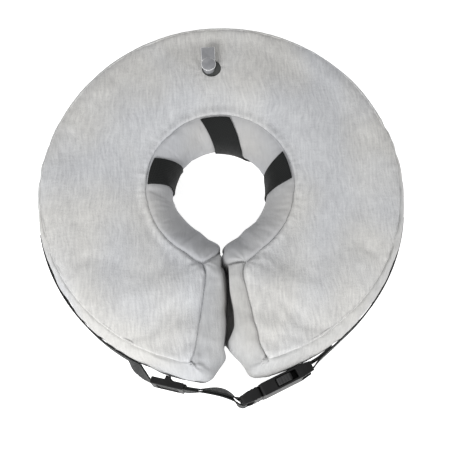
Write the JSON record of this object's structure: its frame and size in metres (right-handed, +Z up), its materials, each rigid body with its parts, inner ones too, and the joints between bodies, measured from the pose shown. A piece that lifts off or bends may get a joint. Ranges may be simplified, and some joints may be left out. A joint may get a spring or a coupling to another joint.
{
  "type": "inflatable recovery collar",
  "caption": "Inflatable plush ring collar with a slit, collar loops round the neck opening, an air valve, and a webbing strap closed by a side-release buckle.",
  "frame": {"origin": "middle of the neck opening, on the ground the collar lies on", "axes": "+Z up through the neck opening, away from the back panel; +Y away from the slit, towards the valve; +X to the right when the slit faces the viewer"},
  "size_m": [0.33, 0.3524, 0.0812],
  "materials": {
    "plush": "short plush",
    "webbing": "flat woven",
    "black_plastic": "satin moulded",
    "clear_vinyl": "clear, soft",
    "bladder_film": "clear film",
    "zip_tape": "woven tape",
    "zip_coil": "satin coil",
    "zip_metal": "plated"
  },
  "bodies": {
    "collar": {"top_panel": "plush", "bottom_panel": "plush", "neck_gusset": "plush", "outer_gusset_left": "plush", "outer_gusset_right": "plush", "zip_gusset_upper": "plush", "zip_gusset_lower": "plush", "zip_tape_upper": "zip_tape", "zip_tape_lower": "zip_tape", "zip_coil_upper": "zip_coil", "zip_coil_lower": "zip_coil", "zip_end_stops": "zip_metal", "bladder": "bladder_film", "valve_flange": "clear_vinyl", "valve_skirt": "clear_vinyl", "collar_loop_top": "webbing", "collar_loop_left": "webbing", "collar_loop_right": "webbing", "strap_left": "webbing", "strap_right": "webbing", "buckle_socket": "black_plastic"},
    "zip_slider_body": {"zip_slider": "zip_metal"},
    "zip_pull_body": {"zip_pull": "zip_metal"},
    "valve_stem_body": {"valve_stem": "clear_vinyl"},
    "valve_plug_body": {"valve_plug": "clear_vinyl"},
    "valve_check_flap_body": {"valve_check_flap": "clear_vinyl"},
    "strap_slider_body": {"strap_slider": "black_plastic"},
    "buckle_plug_body": {"buckle_plug": "black_plastic"},
    "buckle_arm_upper_body": {"buckle_arm_upper": "black_plastic"},
    "buckle_arm_lower_body": {"buckle_arm_lower": "black_plastic"}
  },
  "joints": [
    {"name": "zip_travel", "type": "hinge", "parent": "collar", "child": "zip_slider_body", "pos_m": [0, 0, 0.04], "axis": [0, 0, 1], "range_deg": [0, 98]},
    {"name": "zip_pull_swing", "type": "hinge", "parent": "zip_slider_body", "child": "zip_pull_body", "pos_m": [0.12885, 0.10812, 0.04], "axis": [0, 0, -1], "range_deg": [0, 150]},
    {"name": "valve_lift", "type": "slide", "parent": "collar", "child": "valve_stem_body", "axis": [0, 0, 1], "range_m": [0, 0.0065], "deforming": ["valve_skirt"]},
    {"name": "valve_plug_open", "type": "hinge", "parent": "valve_stem_body", "child": "valve_plug_body", "pos_m": [-0.005, 0.133, 0.0797], "axis": [-1, 0, 0], "range_deg": [0, 150]},
    {"name": "check_flap_swing", "type": "hinge", "parent": "valve_stem_body", "child": "valve_check_flap_body", "pos_m": [-0.0096, 0.115, 0.0616], "axis": [0, 1, 0], "range_deg": [0, 50], "stiffness_Nm_per_rad": 0.0005},
    {"name": "strap_adjust", "type": "slide", "parent": "collar", "child": "strap_slider_body", "axis": [0.9634, -0.2682, 0], "range_m": [0, 0.02], "deforming": ["strap_left"]},
    {"name": "buckle_release", "type": "slide", "parent": "collar", "child": "buckle_plug_body", "axis": [-0.9191, -0.3939, 0], "range_m": [0, 0.03], "deforming": ["strap_left", "buckle_arm_upper", "buckle_arm_lower"]},
    {"name": "arm_upper_squeeze", "type": "hinge", "parent": "buckle_plug_body", "child": "buckle_arm_upper_body", "pos_m": [0.02662, -0.17524, 0.0406], "axis": [-0.3939, 0.9191, 0], "range_deg": [0, 8], "stiffness_Nm_per_rad": 0.3},
    {"name": "arm_lower_squeeze", "type": "hinge", "parent": "buckle_plug_body", "child": "buckle_arm_lower_body", "pos_m": [0.02662, -0.17524, 0.0194], "axis": [0.3939, -0.9191, 0], "range_deg": [0, 8], "stiffness_Nm_per_rad": 0.3}
  ],
  "couplings": [
    {"joint": "arm_lower_squeeze", "follows": "arm_upper_squeeze", "ratio": 1}
  ]
}
